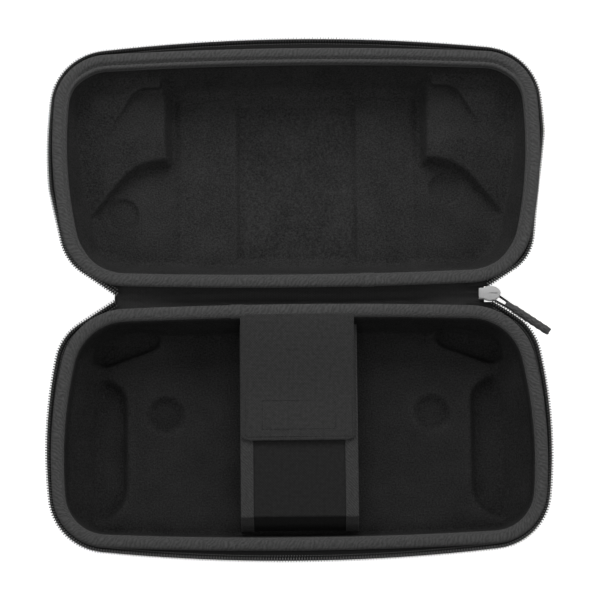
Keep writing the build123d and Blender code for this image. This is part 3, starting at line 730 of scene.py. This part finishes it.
def coilTurn(name):
    letGo()
    bpy.ops.mesh.primitive_torus_add(major_segments=9, minor_segments=5, major_radius=1.0, minor_radius=0.3,
                                     rotation=(0, math.pi / 2, 0))
    turn = bpy.context.object
    turn.name = name
    bpy.ops.object.transform_apply(rotation=True)
    halfY, halfZ = zipper["width"] / 2 * mm, (zipper["high"] - zipper["low"]) / 2 * mm
    wire = zipper["wire"] * mm
    middle = (zipper["high"] + zipper["low"]) / 2 * mm

    def place(co):
        ring = Vector((0, co.y, co.z))
        reach = ring.length
        ring.normalize()
        thick = (reach - 1.0) / 0.3 * wire
        head = zipper["head"] if ring.y > 0.6 else 1.0   # the free side of each turn is pressed wider
        y, z = ring.y * (halfY - wire + thick), ring.z * (halfZ - wire + thick)
        return Vector((co.x / 0.3 * wire * head, y, middle + z))

    shape(turn, place)
    return turn


def sewZip(half, flip):
    z = {key: value * mm for key, value in zipper.items()}
    tuck = [(z["tuck" + end], z["tuck" + end + "From"], z["tuck" + end + "To"]) for end in ("Right", "Left")]
    drawn = (0.0, tuck) if flip else (z["baseEase"],)
    run = evenly(zipRun(z["width"] / 2, z["coilGap"], z["plainGap"], *drawn), 1.0 * mm, False)
    middle = evenly(zipRun(z["coreIn"], z["coilGap"], z["plainGap"], *drawn), 1.0 * mm, False)
    rowGaps = z["coilGap"] + z["rowShort"], z["plainGap"] + z["rowShort"]
    row = evenly(zipRun(z["rowIn"], *rowGaps, *drawn), 1.0 * mm, False)
    outer = zipRun(z["tapeIn"], z["besideSlider"], z["plainGap"], *drawn)
    tucked = round((outer[0].real - z["tapeEnd"]) / mm)
    outer = [complex(z["tapeEnd"] + k * mm, -z["besideSlider"]) for k in range(tucked)] + outer
    inner = [min(baseRim, key=lambda q: abs(q - p)) for p in outer]
    if flip:
        run, middle, row, outer, inner = (mirrored(path) for path in (run, middle, row, outer, inner))
    coil = alongCurve(coilTurn(half + "Coil"), run, False, z["pitch"])
    dress(coil, half + "Coil", coilMat, half)
    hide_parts(half + "_zip_coil")
    stitchRow(half + "CoilStitches", row, False, z["rowHeight"], z["pitch"], z["rowLong"], z["rowWide"], half,
              coilMat)
    core = bentWire(half + "CoilCore", [(p.real, p.imag, z["low"] + z["coreRise"]) for p in middle], z["core"], 2)
    dress(core, half + "CoilCore", tapeMat, half)

    # the tape is bridged between the rim and the coil, then thickened
    tape = bpy.data.meshes.new(half + "Tape")
    count = len(outer)
    spots = [(p.real, p.imag, z["tapeRim"]) for p in inner] + [(p.real, p.imag, z["tapeCoil"]) for p in outer]
    links = [(k, k + 1) for k in range(count - 1)] + [(count + k, count + k + 1) for k in range(count - 1)]
    tape.from_pydata(spots, links, [])
    tape = bpy.data.objects.new(half + "Tape", tape)
    scene.collection.objects.link(tape)
    pick(tape)
    bpy.ops.object.mode_set(mode="EDIT")
    bpy.ops.mesh.select_all(action="SELECT")
    bpy.ops.mesh.bridge_edge_loops(number_cuts=3, interpolation="LINEAR")
    bpy.ops.mesh.normals_make_consistent(inside=False)
    bpy.ops.object.mode_set(mode="OBJECT")
    if sum(face.normal.z for face in tape.data.polygons) < 0:
        pick(tape)
        bpy.ops.object.mode_set(mode="EDIT")
        bpy.ops.mesh.select_all(action="SELECT")
        bpy.ops.mesh.flip_normals()
        bpy.ops.object.mode_set(mode="OBJECT")
    modify(tape, "SOLIDIFY", thickness=z["tapeThick"], offset=-1)
    dress(tape, half + "Tape", tapeMat, half)
    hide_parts(half + "_zip_tape")


sewZip("base", False)
sewZip("lid", True)
print("zip sewn")


# Cloth hinge between the two walls

hinge = dict(left=-114.0, right=116.0, top=36.3, sag=6.5, thick=0.8, wide=20, endLong=45, folds=0.25, creases=0.7)


def clothGrid(name, width, length, spacing):
    letGo()
    bpy.ops.mesh.primitive_grid_add(x_subdivisions=max(2, round(width / spacing)),
                                    y_subdivisions=max(2, round(length / spacing)), size=1)
    cloth = bpy.context.object
    cloth.name = name
    cloth.scale = (width, length, 1)
    bpy.ops.object.transform_apply(scale=True)
    uvInMetres(cloth, width, length)
    return cloth


def layHinge():
    width = (hinge["right"] - hinge["left"]) * mm
    middle = (hinge["right"] + hinge["left"]) / 2 * mm
    cloth = clothGrid("hingeCloth", width, hinge["wide"] * mm, 1.0 * mm)
    walls = {}

    def fold(co):
        x = co.x + middle
        if round(x, 5) not in walls:
            walls[round(x, 5)] = hingeWallY(x)
        t = co.y / (hinge["wide"] / 2 * mm)
        y = t * (walls[round(x, 5)] - 0.1 * mm)
        endLong = hinge["endLong"] * mm
        ends = min(1.0, (x - hinge["left"] * mm) / endLong, (hinge["right"] * mm - x) / endLong)
        sag = hinge["sag"] * mm * (0.25 + 0.75 * max(0, ends))
        z = hinge["top"] * mm - sag * (1 - t * t)
        folds = math.sin(y * 1500 + 3 * noise.noise(Vector((x * 18, 0, 0)))) * hinge["folds"] * mm
        creases = noise.noise(Vector((x * 60, y * 200, 0))) * hinge["creases"] * mm
        return Vector((x, y, z + (folds + creases) * (1 - t ** 4)))

    shape(cloth, fold)
    modify(cloth, "SOLIDIFY", thickness=hinge["thick"] * mm, offset=-1)
    dress(cloth, "hingeCloth", hingeMat)
    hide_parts("hinge_strip")
    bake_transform(cloth)


layHinge()
print("hinge cloth laid")


# Pouch: gusset, panel, edge tapes, fastener patches and flap

pouch = dict(
    half=36.0, front=-137.8, lean=5.6, back=-28.0, floor=11.0, height=18.8, wall=0.9, turn=2.0, bell=0.35,
    panelThick=0.8, mouthHalf=27.0, mouthBack=-46.0,
    edgeWidth=8.0, edgeThick=0.6, edgeStart=-17.0, edgeBend=1.2,
    patchHalf=23.0, patchNear=-65.0, patchFar=-83.0, patchThick=0.5,
    flapHalf=35.4, flapShift=-0.6, flapRoot=-11.6, flapFront=-90.0, flapOver=3.6, flapDrop=48.0,
    flapLow=31.7, flapHigh=38.35, flapThick=1.4, flapRadius=4.0,
    stitchStart=-62, stitchPitch=2.6, edgeStitchLong=1.9, edgeStitchWide=0.42, boxStitchLong=1.7, boxStitchWide=0.45,
    seamOver=0.06, seamSide=2.4, seamFront=2.2, boxIn=0.4,
)


def sewPouch():
    s = {key: value * mm for key, value in pouch.items()}
    panelZ = s["floor"] + s["height"]
    top = panelZ + s["panelThick"]

    # gusset: a strip round three sides, belled out a little
    half, front, turn, step = s["half"], s["front"], s["turn"], 0.4 * mm
    way = [complex(half, s["back"]), complex(half, front + turn)]
    way += runArc(complex(half - turn, front + turn), way[-1], complex(half - turn, front), step)
    way += [complex(half - turn, front), complex(-half + turn, front)]
    way += runArc(complex(-half + turn, front + turn), way[-1], complex(-half, front + turn), step)
    way += [complex(-half, front + turn), complex(-half, s["back"])]
    path = evenly(way, 2.5 * mm, False)
    low, high = s["floor"] + 0.1 * mm, panelZ
    outside = [(s["bell"] * math.sin(math.pi * k / 6), low + (high - low) * k / 6) for k in range(7)]
    section = outside + [(d - s["wall"], z) for d, z in reversed(outside)]
    gusset = sweep("pouchGusset", path, section, closed=False, capped=True)
    tidyNormals(gusset)

    def tilt(co):
        near = easeIn(-co.y, -s["front"] - 12 * mm, -s["front"] - 2 * mm)
        return Vector((co.x, co.y - near * s["lean"] * (high - co.z) / (high - low), co.z))

    shape(gusset, tilt)
    dress(gusset, "pouchGusset", pouchMat, "base", angle=40)
    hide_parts("pouch_gusset")

    # panel with its mouth cut away under the flap
    length = s["back"] - s["front"]
    panel = clothGrid("pouchPanel", 2 * s["half"], length, 1.5 * mm)
    midY = (s["back"] + s["front"]) / 2
    pick(panel)
    bpy.ops.object.mode_set(mode="EDIT")
    bpy.ops.mesh.select_all(action="DESELECT")
    bpy.ops.object.mode_set(mode="OBJECT")
    for face in panel.data.polygons:
        face.select = abs(face.center.x) < s["mouthHalf"] and face.center.y + midY > s["mouthBack"]
    bpy.ops.object.mode_set(mode="EDIT")
    bpy.ops.mesh.delete(type="FACE")
    bpy.ops.object.mode_set(mode="OBJECT")

    def billow(co):
        u, v = co.x / s["half"], co.y / (length / 2)
        puff = (1 - u * u) * (1 - v ** 4) * 0.3 * mm
        ripple = noise.noise(Vector((co.x * 30, co.y * 40, 0))) * 0.25 * mm * (1 - u * u)
        return Vector((co.x, co.y + midY, top - 0.15 * mm + puff * 0.4 + ripple * 0.5))

    shape(panel, billow)
    modify(panel, "SOLIDIFY", thickness=s["panelThick"] * 0.8, offset=-1)
    dress(panel, "pouchPanel", pouchMat, "base")
    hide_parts("pouch_panel")

    # edge tapes run along both sides and fold down over the leaning front end
    slope = math.atan2(s["height"], s["lean"])
    bend = s["edgeBend"]
    for side, node in ((-1, "pouch_edge_left"), (1, "pouch_edge_right")):
        name = "pouchEdgeLeft" if side < 0 else "pouchEdgeRight"
        lift = top + s["edgeThick"] - 0.1 * mm
        above = (lift - bend + bend * math.cos(slope) - panelZ) / math.sin(slope)
        turnY = s["front"] - s["edgeThick"] + bend * math.sin(slope) + above * math.cos(slope)
        flat, arc = s["edgeStart"] - turnY, bend * slope
        down = above + s["height"] / math.sin(slope)
        tape = clothGrid(name, s["edgeWidth"], flat + arc + down, 0.8 * mm)

        def fold(co):
            t = (flat + arc + down) / 2 - co.y   # from the hinge end
            across = co.x / (s["edgeWidth"] / 2)
            crown = 0.12 * mm * (1 - across * across)
            x = side * (s["half"] - s["edgeWidth"] / 2 + 0.4 * mm) + co.x
            if t < flat:
                return Vector((x, s["edgeStart"] - t, lift + crown))
            a = min((t - flat) / bend, slope)
            rest = max(0, t - flat - arc)
            y = turnY - (bend + crown) * math.sin(a) - rest * math.cos(slope)
            return Vector((x, y, lift - bend + (bend + crown) * math.cos(a) - rest * math.sin(slope)))

        shape(tape, fold)
        modify(tape, "SOLIDIFY", thickness=s["edgeThick"], offset=-1)
        dress(tape, name, edgeMat, "base")
        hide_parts(node)

    # hook and loop patches between panel and flap
    for name, node, z in (("loopPatch", "panel_loop_patch", top + 0.5 * mm),
                          ("hookPatch", "flap_hook_patch", s["flapLow"] - 0.03 * mm)):
        patch = clothGrid(name, 2 * s["patchHalf"], s["patchNear"] - s["patchFar"], 0.9 * mm)
        midPatch = (s["patchNear"] + s["patchFar"]) / 2

        def pile(co):
            rough = noise.noise(Vector((co.x * 1400, co.y * 1400, z * 1000))) * 0.06 * mm
            return Vector((co.x, co.y + midPatch, z + rough - 0.05 * mm))

        shape(patch, pile)
        modify(patch, "SOLIDIFY", thickness=s["patchThick"] * 0.8, offset=-1)
        dress(patch, name, pileMat, "base")
        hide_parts(node)

    # flap: a doubled cloth that comes from under the binding and lies on the patches
    long = s["flapRoot"] - s["flapFront"]
    flap = clothGrid("pouchFlap", 2 * s["flapHalf"], long, 1.1 * mm)

    def drape(co):
        t = long / 2 - co.y   # from the sewn root
        u = co.x / s["flapHalf"]
        half = s["flapHalf"] - 0.25 * mm * math.sin(math.pi * t / long)
        left = long - t
        if left < s["flapRadius"]:
            half -= s["flapRadius"] - math.sqrt(max(0, s["flapRadius"] ** 2 - (s["flapRadius"] - left) ** 2))
        k = min(1, max(0, (t - s["flapOver"]) / s["flapDrop"]))
        k = 0.5 * k + 0.5 * k * k * (3 - 2 * k)
        z = s["flapHigh"] + (s["flapLow"] - s["flapHigh"]) * k + s["flapThick"]
        ripple = noise.noise(Vector((co.x * 26, co.y * 22, 3.1))) * 0.22 * mm * min(1, t / (8 * mm))
        hem = max(0, abs(u) - 0.93) / 0.07
        z += ripple - 0.15 * mm * hem * hem
        return Vector((u * half + s["flapShift"], s["flapRoot"] - t, z))

    shape(flap, drape)
    modify(flap, "SOLIDIFY", thickness=s["flapThick"], offset=-1)
    modify(flap, "BEVEL", width=0.4 * mm, segments=2, limit_method="ANGLE", angle_limit=math.radians(50))
    dress(flap, "pouchFlap", flapMat, "base", angle=40)
    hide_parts("pouch_flap")

    # stitch rows on the flap: round three edges and round the hook patch
    stitchZ = s["flapLow"] + s["flapThick"] + s["seamOver"]
    inX, inY = s["flapHalf"] - s["seamSide"], s["flapFront"] + s["seamFront"]
    edgeRow = [complex(x, y) for x, y in ((-inX, s["stitchStart"]), (-inX, inY), (inX, inY), (inX, s["stitchStart"]))]
    stitchRow("flapEdgeStitches", evenly(edgeRow, 1.0 * mm, False), False, stitchZ, s["stitchPitch"],
              s["edgeStitchLong"], s["edgeStitchWide"], "base")
    boxX = s["patchHalf"] - s["boxIn"]
    boxRow = [complex(x, y) for x, y in ((-boxX, s["patchNear"]), (boxX, s["patchNear"]),
                                         (boxX, s["patchFar"]), (-boxX, s["patchFar"]))]
    stitchRow("flapPatchStitches", evenly(boxRow, 0.5 * mm, True), True, stitchZ, s["stitchPitch"],
              s["boxStitchLong"], s["boxStitchWide"], "base")


sewPouch()
print("pouch sewn")


# Slider, bail and pull

slider = dict(
    start=112.6, low=36.4, plate=1.3, gap=2.1, ridge=0.3, ridgeHalf=4.5,
    side=[(0, 3.1), (2.0, 3.1), (3.2, 3.45), (4.2, 3.95), (5.6, 4.35), (7.2, 4.5), (9.0, 4.3), (10.8, 3.6),
          (12.2, 2.5), (13.2, 1.1), (13.5, 0.0)],
    slotFrom=6.4, slotTo=11.6, slotHalf=0.45, slotDeep=0.55, slotAside=0.25,
    postIn=10.4, postRadius=1.5, guardIn=3.2, guardOut=3.0, guardLong=5.2, guardWide=0.8,
    bailFrom=117.0, bailTo=121.0, bailDrop=5.0, bailBend=1.2, bailRadius=0.75,
)


def castSlider():
    x0 = slider["start"]
    upper = [(x0 + x, y) for x, y in slider["side"]]
    lower = [(x, -y) for x, y in reversed(upper[:-1])]
    outline = upper + lower
    plates = []
    for label, z in (("sliderLow", slider["low"]), ("sliderTop", slider["low"] + slider["plate"] + slider["gap"])):
        mesh = bpy.data.meshes.new(label)
        mesh.from_pydata([(x * mm, y * mm, z * mm) for x, y in outline], [], [list(range(len(outline)))])
        plate = bpy.data.objects.new(label, mesh)
        scene.collection.objects.link(plate)
        tidyNormals(plate)
        modify(plate, "SOLIDIFY", thickness=slider["plate"] * mm, offset=1 if mesh.polygons[0].normal.z > 0 else -1)
        plates.append(plate)
    top = plates[1]

    # roof the top plate along the middle and sink the slot
    pick(top)
    bpy.ops.object.mode_set(mode="EDIT")
    bpy.ops.mesh.select_all(action="SELECT")
    bpy.ops.mesh.bisect(plane_co=(0, 0, 0), plane_no=(0, 1, 0))
    bpy.ops.mesh.select_all(action="DESELECT")
    bpy.ops.object.mode_set(mode="OBJECT")
    roof = (slider["low"] + 2 * slider["plate"] + slider["gap"]) * mm
    for vert in top.data.vertices:
        if vert.co.z > roof - 0.1 * mm:
            vert.co.z -= abs(vert.co.y) / (slider["ridgeHalf"] * mm) * slider["ridge"] * mm
    letGo()
    slotX = (x0 + (slider["slotFrom"] + slider["slotTo"]) / 2) * mm
    bpy.ops.mesh.primitive_cylinder_add(vertices=16, radius=slider["slotHalf"] * mm,
                                        depth=2 * slider["slotDeep"] * mm,
                                        location=(slotX, -slider["slotAside"] * mm, roof))
    cutter = bpy.context.object
    cutter.scale = ((slider["slotTo"] - slider["slotFrom"]) / 2 / slider["slotHalf"], 1, 1)
    bpy.ops.object.transform_apply(scale=True)
    modify(top, "BOOLEAN", operation="DIFFERENCE", object=cutter, solver="EXACT")
    bpy.data.objects.remove(cutter)
    letGo()
    between = (slider["low"] + slider["plate"] + slider["gap"] / 2) * mm
    bpy.ops.mesh.primitive_cylinder_add(vertices=16, radius=slider["postRadius"] * mm,
                                        depth=(slider["gap"] + 0.4) * mm,
                                        location=((x0 + slider["postIn"]) * mm, 0, between))
    post = bpy.context.object
    guards = []
    for y in (-slider["guardOut"], slider["guardOut"]):
        letGo()
        bpy.ops.mesh.primitive_cube_add(size=1, location=((x0 + slider["guardIn"]) * mm, y * mm, between))
        guard = bpy.context.object
        guard.scale = (slider["guardLong"] * mm, slider["guardWide"] * mm, (slider["gap"] + 0.3) * mm)
        bpy.ops.object.transform_apply(scale=True)
        guards.append(guard)
    pick(plates[0], post, *guards, top)
    bpy.ops.object.join()
    body = bpy.context.object
    modify(body, "BEVEL", width=0.28 * mm, segments=3, limit_method="ANGLE", angle_limit=math.radians(40))
    dress(body, "sliderBody", sliderMat, "base", angle=35)
    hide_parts("slider_body")

    # bail under the slider: two legs and a bar in one bent wire
    low, up = (slider["low"] - slider["bailDrop"]) * mm, (slider["low"] + 0.3) * mm
    a, b, bend = slider["bailFrom"] * mm, slider["bailTo"] * mm, slider["bailBend"] * mm
    way = [(a, 0, up), (a, 0, low + bend), (a + bend, 0, low), (b - bend, 0, low), (b, 0, low + bend), (b, 0, up)]
    bail = bentWire("sliderBail", way, slider["bailRadius"] * mm, 3)
    modify(bail, "SUBSURF", levels=1, render_levels=1)
    dress(bail, "sliderBail", sliderMat, "base")
    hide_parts("slider_bail")


castSlider()

pull = dict(pivot=(121.0, 0, 33.2), turn=-32.4, droop=10.0, loop=10.0, cord=1.5, bend=1.9, grip=32.6, neck=5.6,
            neckWidth=4.0, width=5.2, height=4.8, coreIn=0.7, edge=1.0, plainEnd=1.2, studRows=8, studPitch=4.4,
            studLong=3.2, studWide=2.0, studRise=0.55, studIn=0.45, loopUnder=0.8, loopFlat=(0.024, 0.0047))


def mouldPull():
    turned = Matrix.Translation(Vector(pull["pivot"]) * mm) @ Matrix.Rotation(math.radians(pull["turn"]), 4, "Z")
    droop = Matrix.Rotation(math.radians(pull["droop"]), 4, "Y")
    drooped = turned @ Matrix.Translation((pull["loop"] * mm, 0, 0)) @ droop
    long, neck = pull["grip"] * mm, pull["neck"] * mm
    bars = []
    for start, wide, high in ((0, pull["neckWidth"], pull["neckWidth"]),
                              (neck, pull["width"] - pull["coreIn"], pull["height"] - pull["coreIn"])):
        letGo()
        bpy.ops.mesh.primitive_cube_add(size=1, location=((start + long) / 2, 0, 0))
        bar = bpy.context.object
        bar.scale = (long - start, wide * mm, high * mm)
        bpy.ops.object.transform_apply(location=True, scale=True)
        modify(bar, "BEVEL", width=pull["edge"] * mm, segments=4, limit_method="ANGLE")
        bars.append(bar)
    grip = bars[1]
    studs = bars[:1]
    count = int((pull["grip"] - pull["neck"]) / pull["studPitch"])
    for row in range(pull["studRows"]):
        a = row * 2 * math.pi / pull["studRows"]
        y = math.cos(a) * (pull["width"] / 2 - pull["studIn"])
        z = math.sin(a) * (pull["height"] / 2 - pull["studIn"])
        for k in range(count):
            x = pull["neck"] + (k + (0.85 if row % 2 else 0.35)) * pull["studPitch"]
            if x > pull["grip"] - pull["plainEnd"]:
                continue
            letGo()
            bpy.ops.mesh.primitive_ico_sphere_add(subdivisions=2, radius=0.5, location=(x * mm, y * mm, z * mm))
            stud = bpy.context.object
            stud.rotation_euler = (a, 0, 0)
            stud.scale = (pull["studLong"] * mm, 2 * pull["studRise"] * mm, pull["studWide"] * mm)
            studs.append(stud)
    pick(*studs, grip)
    bpy.ops.object.join()
    grip = bpy.context.object
    modify(grip, "REMESH", mode="VOXEL", voxel_size=0.2 * mm)
    modify(grip, "SMOOTH", factor=0.5, iterations=3)
    grip.data.transform(drooped)
    dress(grip, "pullGrip", pullMat, "pull")
    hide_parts("pull_grip")

    r = pull["bend"]
    end = pull["loop"] + pull["loopUnder"]
    leg = [(end, r * 0.8, 0), (4.5, r, 0), (1.0, r, 0), (-r * 0.9, r * 0.95, 0)]
    spots = leg + [(-r * 1.15, 0, 0)] + [(x, -y, z) for x, y, z in reversed(leg)]
    data = bpy.data.curves.new("pullLoop", "CURVE")
    data.dimensions = "3D"
    spline = data.splines.new("NURBS")
    spline.points.add(len(spots) - 1)
    for spot, p in zip(spline.points, spots):
        spot.co = (*(Vector(p) * mm), 1)
    spline.order_u = 3
    spline.use_endpoint_u = True
    data.bevel_depth = pull["cord"] / 2 * mm
    data.bevel_resolution = 4
    data.use_fill_caps = True
    loop = bpy.data.objects.new("pullLoop", data)
    scene.collection.objects.link(loop)
    pick(loop)
    bpy.ops.object.convert(target="MESH")
    loop = bpy.context.object
    uvInMetres(loop, *pull["loopFlat"])
    loop.data.transform(turned)
    tidyNormals(loop)
    dress(loop, "pullLoop", cordMat, "pull")
    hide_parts("pull_loop")


mouldPull()
print("slider and pull made")
